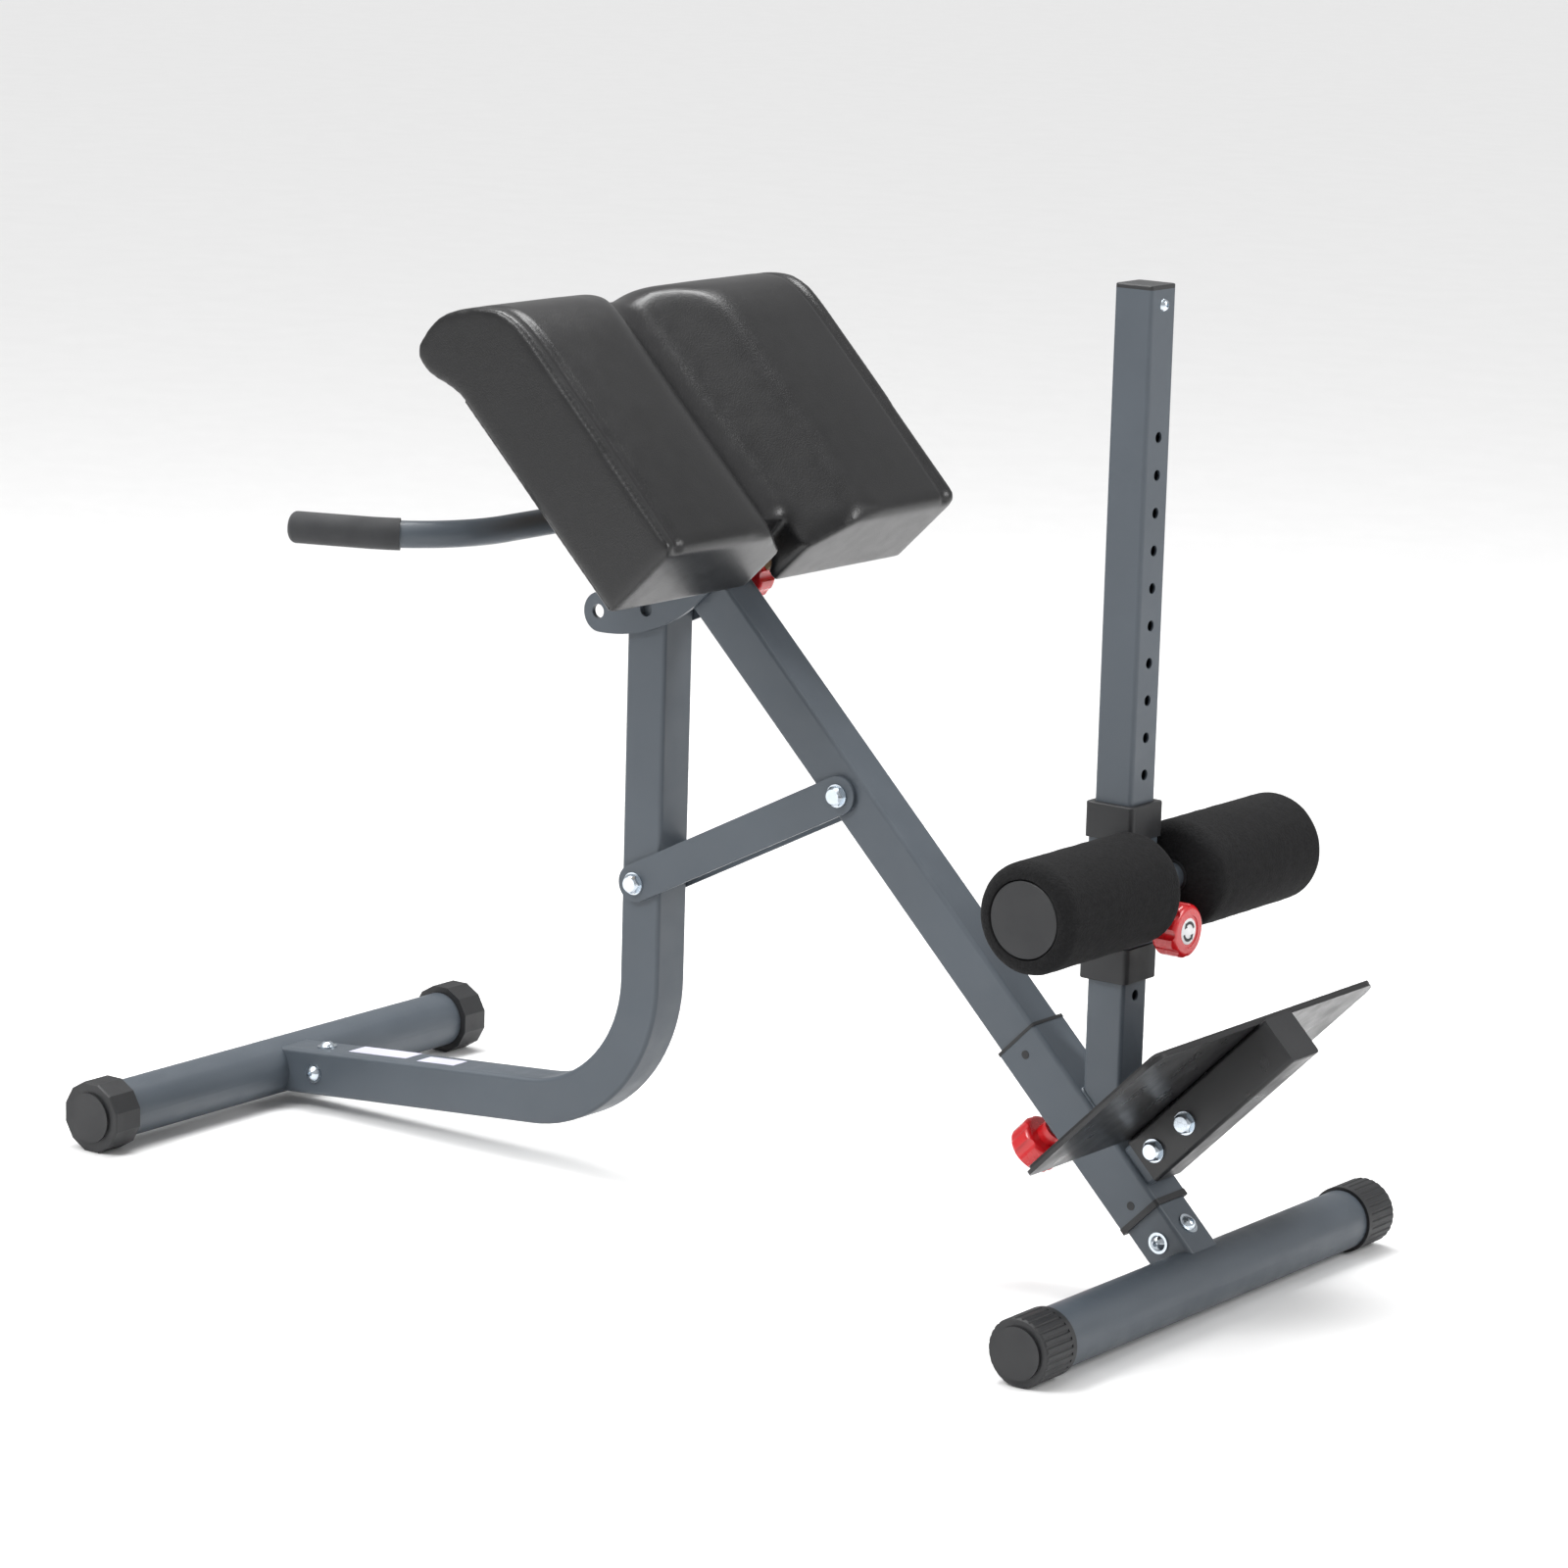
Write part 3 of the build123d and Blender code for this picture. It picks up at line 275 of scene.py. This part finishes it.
FINISHES = (
    (FRAME_PAINT, "rear_foot_tube front_foot_tube rear_upright main_beam brace_left brace_right "
                  "handlebar quadrant_plate_left quadrant_plate_right pad_crossbars lower_sleeve "
                  "post roller_sleeve roller_axle pad_plunger_barrel carriage_plunger_barrel "
                  "roller_plunger_barrel"),
    (BLACK_PAINT, "footplate footplate_arm"),
    (BLACK_PLASTIC, "rear_foot_cap_left rear_foot_cap_right front_foot_cap_left "
                    "front_foot_cap_right beam_top_cap lower_sleeve_bush_bottom "
                    "lower_sleeve_bush_top post_cap footplate_arm_cap roller_bush_upper "
                    "roller_bush_lower roller_end_caps roller_core_left roller_core_right "
                    "pad_pivot_bushes"),
    (ZINC, "brace_bolts brace_nuts brace_washers foot_screws foot_washers pad_pivot_bolt "
           "pad_pivot_nut pad_screws pad_plunger post_stop_screw arm_bolts arm_nuts "
           "arm_washers carriage_plunger roller_plunger"),
    (RED, "pad_knob carriage_knob roller_knob"),
    (GRIP, "handle_grip_left handle_grip_right"),
    (BOARD, "pad_board"),
    (RUBBER, "footplate_mat"),
    (LABEL, "blank_labels"),
)


def paint(piece, finish):
    piece.data.materials.clear()
    piece.data.materials.append(finish)


def paint_nodes():
    for finish, names in FINISHES:
        for name in names.split():
            paint(NODES[name], finish)


# ---- cushion ------------------------------------------------------------------------
def smoothstep(value):
    value = max(0.0, min(1.0, value))
    return value * value * (3 - 2 * value)


def remesh(piece):
    use_only(piece)
    piece.data.remesh_voxel_size = PAD_VOXEL
    bpy.ops.object.voxel_remesh()


def soften(piece, factor, rounds):
    smooth = piece.modifiers.new("soften", "SMOOTH")
    smooth.factor = factor
    smooth.iterations = rounds
    apply_modifiers(piece)


def facing_up(vertex):
    """1 where the surface faces square away from the beam, 0 where it stands along it."""
    return (vertex.normal.x + vertex.normal.z) * DIAGONAL


def crown(piece):
    """Lifts the middle of each lobe, as foam does under a tight cover."""
    moves = []
    for vertex in piece.data.vertices:
        s, t, y = to_beam(vertex.co)
        across = max(0.0, 1 - ((abs(y) - LOBE_CENTRE) / LOBE_HALF) ** 2)
        along = max(0.0, 1 - ((s - LOBE_MIDDLE_S) / LOBE_HALF_S) ** 2)
        share = across * along * smoothstep((facing_up(vertex) - 0.5) / 0.4)
        moves.append(vertex.normal * CROWN * share)
    for vertex, move in zip(piece.data.vertices, moves):
        vertex.co += move


def groove_upper_end(piece):
    """Carries the valley on over the upper end of the cushion, fading out across it."""
    for vertex in piece.data.vertices:
        s, t, y = to_beam(vertex.co)
        across = abs(y) / END_GROOVE_HALF
        if across < 1 and s > END_GROOVE_START:
            depth = END_GROOVE_DEPTH * math.cos(across * math.pi / 2) ** 2
            depth *= smoothstep((s - END_GROOVE_START) / END_GROOVE_FADE)
            vertex.co = from_beam(s - depth, t, y)


def press_bands(piece):
    """The shallow band between the rounded long edge and the flat of the upper face."""
    band_y = PAD_HALF_WIDTH - BAND_INSET
    moves = []
    for vertex in piece.data.vertices:
        s, t, y = to_beam(vertex.co)
        share = smoothstep(1 - abs(abs(y) - band_y) / BAND_HALF)
        share *= smoothstep((facing_up(vertex) - 0.2) / 0.5)
        moves.append(vertex.normal * BAND_DEPTH * share)
    for vertex, move in zip(piece.data.vertices, moves):
        vertex.co -= move


def round_valley(piece):
    """Blurs the straight-sided valley into one soft trough, leaving the rest as it is."""
    weights = piece.vertex_groups.new(name="valley")
    for vertex in piece.data.vertices:
        s, t, y = to_beam(vertex.co)
        share = smoothstep((1.35 - abs(y) / VALLEY_HALF) / 0.3)
        share *= smoothstep((facing_up(vertex) - 0.2) / 0.4)
        if share > 0:
            weights.add([vertex.index], share, "REPLACE")
    smooth = piece.modifiers.new("valley", "SMOOTH")
    smooth.vertex_group = "valley"
    smooth.factor = 0.5
    smooth.iterations = 60
    apply_modifiers(piece)
    piece.vertex_groups.clear()


def make_cushion():
    source = NODES["hip_pad"]
    piece = bpy.data.objects.new("hip_cushion", source.data.copy())
    bpy.context.scene.collection.objects.link(piece)
    remesh(piece)
    soften(piece, 0.5, 12)
    round_valley(piece)
    groove_upper_end(piece)
    crown(piece)
    soften(piece, 0.4, 2)
    divide = piece.modifiers.new("divide", "SUBSURF")
    divide.levels = 1
    divide.render_levels = 1
    apply_modifiers(piece)
    press_bands(piece)
    soften(piece, 0.4, 3)
    piece.data.polygons.foreach_set("use_smooth", [True] * len(piece.data.polygons))
    paint(piece, VINYL)
    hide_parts("hip_pad")
    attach(piece, "pad")


def make_piping():
    """The cover's rolled edge along both sides of the cushion's back."""
    steps = 60
    for side, name in ((-1, "left"), (1, "right")):
        y = side * (PAD_HALF_WIDTH - 4.5 * MM)
        points = []
        for i in range(steps + 1):
            s = PIPING_S0 + (PIPING_S1 - PIPING_S0) * i / steps
            points.append(from_beam(s, PAD_BACK_T + 2.5 * MM, y))
        piece = swept("pad_piping_" + name, points, PIPING_RADIUS, ripple=0.04)
        paint(piece, VINYL)
        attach(piece, "pad")


# ---- rollers ------------------------------------------------------------------------
def foam_profile(inner, outer, radius, bore, pocket, pocket_depth):
    """(y, radius) from the inner end's bore, over the outside, into the end disc's pocket."""
    profile = [(inner + 0.5 * MM, bore)]
    for i in reversed(range(FOAM_TURNS + 1)):
        angle = math.pi / 2 * i / FOAM_TURNS
        profile.append((inner + FOAM_END_ROUND * (1 - math.sin(angle)),
                        radius - FOAM_END_ROUND * (1 - math.cos(angle))))
    length = outer - inner - 2 * FOAM_END_ROUND
    for i in range(1, 40):
        profile.append((inner + FOAM_END_ROUND + length * i / 40, radius))
    for i in range(FOAM_TURNS + 1):
        angle = math.pi / 2 * i / FOAM_TURNS
        profile.append((outer - FOAM_END_ROUND * (1 - math.sin(angle)),
                        radius - FOAM_END_ROUND * (1 - math.cos(angle))))
    return profile + [(outer, pocket), (outer - pocket_depth, pocket), (outer - pocket_depth, bore)]


def make_rollers():
    centre = (AXLE_LOW + AXLE_HIGH) / 2
    for side, name in ((-1, "left"), (1, "right")):
        low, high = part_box("foam_roller_" + name)
        inner = min(abs(low.y), abs(high.y))
        outer = max(abs(low.y), abs(high.y))
        radius = (high.z - low.z) / 2
        profile = foam_profile(inner, outer, radius, 15.5 * MM, 36.2 * MM, 4 * MM)
        piece = lathe("foam_sleeve_" + name, profile, centre, side, wobble=FOAM_RIPPLE)
        if side < 0:
            piece.data.flip_normals()
        paint(piece, FOAM)
        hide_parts("foam_roller_" + name)
        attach(piece, "roller_" + name)


# ---- weld beads ---------------------------------------------------------------------
def around(x0, x1, half_y, t, steps=16):
    """A closed rectangle of points on the plane t above the beam, over x0 to x1."""
    corners = [(x0, -half_y), (x1, -half_y), (x1, half_y), (x0, half_y)]
    points = []
    for i, (x, y) in enumerate(corners):
        next_x, next_y = corners[(i + 1) % 4]
        for k in range(steps):
            share = k / steps
            points.append(at_height_above_beam(x + (next_x - x) * share, y + (next_y - y) * share, t))
    return points


def make_welds():
    post = around(POST_LOW.x, POST_HIGH.x, POST_HIGH.y, SLEEVE_TOP_T)
    upright = around(UPRIGHT_HIGH.x - 46 * MM, UPRIGHT_HIGH.x, UPRIGHT_HIGH.y, BEAM_UNDER_T)
    for name, points, body in (("weld_post", post, "lower_carriage"), ("weld_upright", upright, "frame")):
        piece = swept(name, points, 2.0 * MM, closed=True, ripple=0.18)
        paint(piece, FRAME_PAINT)
        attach(piece, body)


# ---- knob badge ---------------------------------------------------------------------
ARROW_START = 0.25           # radians
ARROW_TURN = 1.9


def ring_sector(inner, outer, start, turn, steps=24):
    """A flat curved band as (inner radius, outer radius, angle) along its turn."""
    return [(inner, outer, start + turn * i / steps) for i in range(steps + 1)]


def make_badge():
    """A round badge on the roller knob with two plain curved arrows."""
    low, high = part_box("roller_knob")
    centre = Vector((high.x - 1.2 * MM, 0, (low.z + high.z) / 2))
    disc_r, lift, sides = 12.5 * MM, 0.9 * MM, 64
    vertices, faces = [centre + Vector((lift, 0, 0))], []
    for radius, height in ((disc_r - 1 * MM, lift), (disc_r, lift - 0.5 * MM), (disc_r, 0)):
        for k in range(sides):
            angle = 2 * math.pi * k / sides
            vertices.append(centre + Vector((height, radius * math.cos(angle), radius * math.sin(angle))))
    for k in range(sides):
        after = (k + 1) % sides
        faces.append((0, 1 + k, 1 + after))
        for ring in (0, 1):
            near, far = 1 + ring * sides, 1 + (ring + 1) * sides
            faces.append((near + k, far + k, far + after, near + after))
    disc = new_object("roller_knob_badge", vertices, faces)
    paint(disc, WHITE_BADGE)
    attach(disc, "roller_pin")

    vertices, faces = [], []
    top = lift + 0.15 * MM
    for start in (ARROW_START, ARROW_START + math.pi):
        base = len(vertices)
        band = ring_sector(6.6 * MM, 9.4 * MM, start, ARROW_TURN)
        for inner, outer, angle in band:
            for radius in (inner, outer):
                vertices.append(centre + Vector((top, radius * math.cos(angle), radius * math.sin(angle))))
        for i in range(len(band) - 1):
            faces.append((base + 2 * i, base + 2 * i + 1, base + 2 * i + 3, base + 2 * i + 2))
        tip = len(vertices)
        end = start + ARROW_TURN
        for radius, angle in ((4.9 * MM, end), (11.1 * MM, end), (8.0 * MM, end + 0.6)):
            vertices.append(centre + Vector((top, radius * math.cos(angle), radius * math.sin(angle))))
        faces.append((tip, tip + 1, tip + 2))
    arrows = new_object("roller_knob_arrows", vertices, faces, smooth=False)
    paint(arrows, BLACK_PLASTIC)
    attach(arrows, "roller_pin")


# ---- studio -------------------------------------------------------------------------
def make_floor():
    size = 60.0
    corners = [(-size, -size, 0), (size, -size, 0), (size, size, 0), (-size, size, 0)]
    floor = new_object("floor", corners, [(0, 1, 2, 3)], smooth=False)
    floor.location.z = -0.0005
    paint(floor, finish_of("pale_floor", (0.86, 0.86, 0.86), 0.6, 60, 0.02 * MM, variation=0.01))


def area_light(name, place, aim, size, power):
    data = bpy.data.lights.new(name, "AREA")
    data.shape = "RECTANGLE"
    data.size, data.size_y = size
    data.energy = power
    light = bpy.data.objects.new(name, data)
    bpy.context.scene.collection.objects.link(light)
    light.location = place
    light.rotation_euler = (Vector(aim) - Vector(place)).to_track_quat("-Z", "Y").to_euler()


def make_lights():
    world = bpy.data.worlds.new("studio")
    world.use_nodes = True
    world.node_tree.nodes["Background"].inputs["Color"].default_value = (1, 1, 1, 1)
    world.node_tree.nodes["Background"].inputs["Strength"].default_value = 0.5
    bpy.context.scene.world = world
    area_light("key", (-1.2, -3.0, 3.2), (0, 0, 0.4), (1.6, 1.6), 90)
    area_light("side", (3.4, 1.2, 2.2), (0.2, 0, 0.5), (1.0, 2.0), 70)
    area_light("top", (-0.6, 0.6, 3.4), (0, 0, 0.5), (2.4, 0.8), 90)
    sky = bpy.data.lights.new("sky", "SUN")
    sky.energy = 1.7
    sky.angle = math.radians(70)
    lamp = bpy.data.objects.new("sky", sky)
    lamp.rotation_euler = (math.radians(20), math.radians(-15), 0)
    bpy.context.scene.collection.objects.link(lamp)


def make_camera():
    azimuth, elevation, roll = (math.radians(a) for a in (36.068, 11.706, 1.624))
    back = Vector((math.sin(azimuth) * math.cos(elevation),
                   -math.cos(azimuth) * math.cos(elevation), math.sin(elevation)))
    right = (-back).cross(Vector((0, 0, 1))).normalized()
    up = right.cross(-back)
    turned_right = math.cos(roll) * right + math.sin(roll) * up
    turned_up = -math.sin(roll) * right + math.cos(roll) * up
    data = bpy.data.cameras.new("camera")
    data.lens = 123.36
    data.sensor_width = 36
    camera = bpy.data.objects.new("camera", data)
    bpy.context.scene.collection.objects.link(camera)
    turn = Matrix((turned_right, turned_up, back)).transposed().to_4x4()
    camera.matrix_world = Matrix.Translation((2.97458, -4.03057, 1.45318)) @ turn
    bpy.context.scene.camera = camera


paint_nodes()
make_cushion()
make_piping()
make_rollers()
make_welds()
make_badge()
make_floor()
make_lights()
make_camera()
bpy.context.scene.view_settings.view_transform = "Standard"
